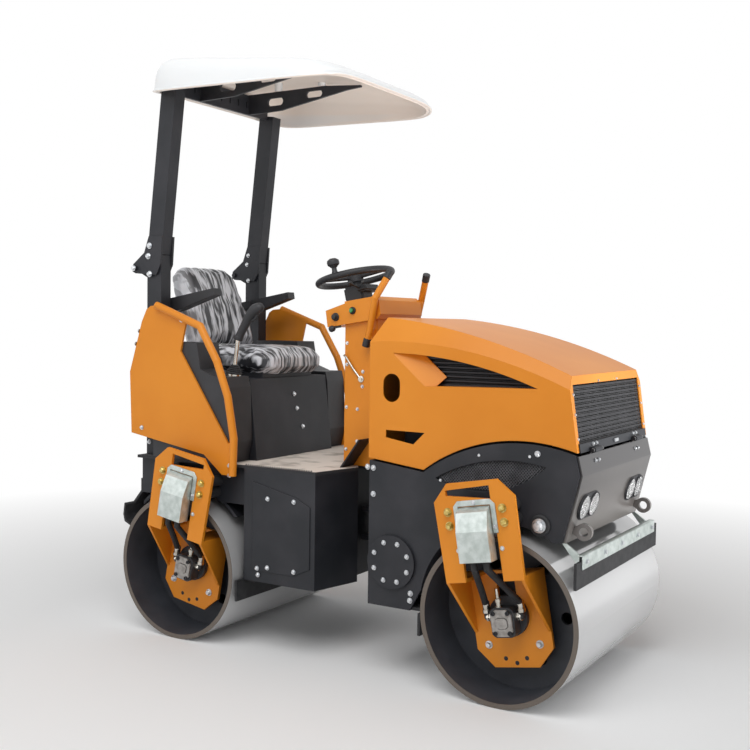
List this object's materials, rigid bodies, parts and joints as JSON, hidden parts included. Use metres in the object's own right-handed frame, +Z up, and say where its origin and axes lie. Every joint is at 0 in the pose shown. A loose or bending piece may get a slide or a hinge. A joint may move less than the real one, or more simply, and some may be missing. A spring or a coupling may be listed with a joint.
{
  "type": "road roller",
  "caption": "Ride-on tandem road roller with two smooth steel drums, a jointed middle, a tilting hood, an operator's seat and a folding canopy.",
  "frame": {"origin": "on the ground, midway between the two axles, under the steering pivot", "axes": "+X forward, +Y to the operator's left, +Z up"},
  "size_m": [2.095, 1.104, 2.437],
  "materials": {
    "black_paint": "satin",
    "grey_paint": "satin",
    "orange_paint": "gloss",
    "floor_sheet": "matte",
    "seat_vinyl": "satin",
    "black_plastic": "matte",
    "bright_steel": "polished",
    "rubber": "matte",
    "zinc_sheet": "satin",
    "cast_iron": "satin",
    "canopy_shell": "gloss",
    "lamp_glass": "clear",
    "drum_steel": "polished"
  },
  "bodies": {
    "rear_frame": {"rear_chassis": "black_paint", "floor_plate": "floor_sheet", "seat_base": "black_paint", "seat_cushion": "seat_vinyl", "seat_back": "seat_vinyl", "armrests": "black_plastic", "side_panels": "orange_paint", "side_tanks": "black_plastic", "post_stubs": "black_paint", "travel_lever": "bright_steel", "lever_grip": "black_plastic", "steering_column": "orange_paint", "dash_box": "orange_paint", "dash_switches": "black_plastic", "grab_handles": "orange_paint", "toe_plates": "black_paint", "rear_yokes": "orange_paint", "rear_buffers": "rubber", "rear_hose_covers": "zinc_sheet", "rear_motors": "cast_iron", "rear_hoses": "rubber", "rear_scrapers": "rubber", "rear_lugs": "black_paint"},
    "mast": {"upper_posts": "black_paint", "mast_plates": "black_paint", "canopy_frame": "black_paint", "canopy": "canopy_shell"},
    "wheel": {"steering_wheel": "black_plastic"},
    "front_frame": {"front_chassis": "black_paint", "arch_meshes": "black_paint", "tank_covers": "black_paint", "nose_panel": "grey_paint", "head_lamps": "lamp_glass", "engine": "cast_iron", "front_yokes": "orange_paint", "front_buffers": "rubber", "front_hose_covers": "zinc_sheet", "front_motors": "cast_iron", "front_hoses": "rubber", "scraper_bracket": "zinc_sheet", "front_scrapers": "rubber", "centre_joint": "cast_iron", "front_lugs": "grey_paint", "hinge_ears": "grey_paint"},
    "hood": {"hood": "orange_paint", "hood_grille": "black_paint", "hood_vents": "black_paint", "hood_bar": "black_paint"},
    "front_drum": {"front_drum": "drum_steel"},
    "rear_drum": {"rear_drum": "drum_steel"},
    "cylinder": {"steering_cylinder": "cast_iron"},
    "rod": {"steering_rod": "bright_steel"}
  },
  "joints": [
    {"name": "frame_steer", "type": "hinge", "parent": "rear_frame", "child": "front_frame", "pos_m": [0, 0, 0.5], "axis": [0, 0, 1], "range_deg": [-30, 30]},
    {"name": "cylinder_swing", "type": "hinge", "parent": "rear_frame", "child": "cylinder", "pos_m": [-0.33, 0.185, 0.42], "axis": [0, 0, 1], "range_deg": [-8, 8]},
    {"name": "rod_slide", "type": "slide", "parent": "cylinder", "child": "rod", "axis": [1, 0, 0], "range_m": [-0.1, 0.1]},
    {"name": "hood_tilt", "type": "hinge", "parent": "front_frame", "child": "hood", "pos_m": [0.9995, 0, 0.903], "axis": [0, 1, 0], "range_deg": [0, 55]},
    {"name": "front_drum_spin", "type": "hinge", "parent": "front_frame", "child": "front_drum", "pos_m": [0.7325, 0, 0.3], "axis": [0, 1, 0], "continuous": true},
    {"name": "rear_drum_spin", "type": "hinge", "parent": "rear_frame", "child": "rear_drum", "pos_m": [-0.7325, 0, 0.3], "axis": [0, 1, 0], "continuous": true},
    {"name": "wheel_turn", "type": "hinge", "parent": "rear_frame", "child": "wheel", "pos_m": [-0.155, 0, 1.52], "axis": [-0.225, 0, 0.9744], "continuous": true},
    {"name": "mast_fold", "type": "hinge", "parent": "rear_frame", "child": "mast", "pos_m": [-1.0425, 0, 1.554], "axis": [0, -1, 0], "range_deg": [0, 90]}
  ],
  "couplings": [
    {"joint": "cylinder_swing", "follows": "frame_steer", "ratio": 0.24},
    {"joint": "rod_slide", "follows": "frame_steer", "m_per_rad": -0.181}
  ]
}
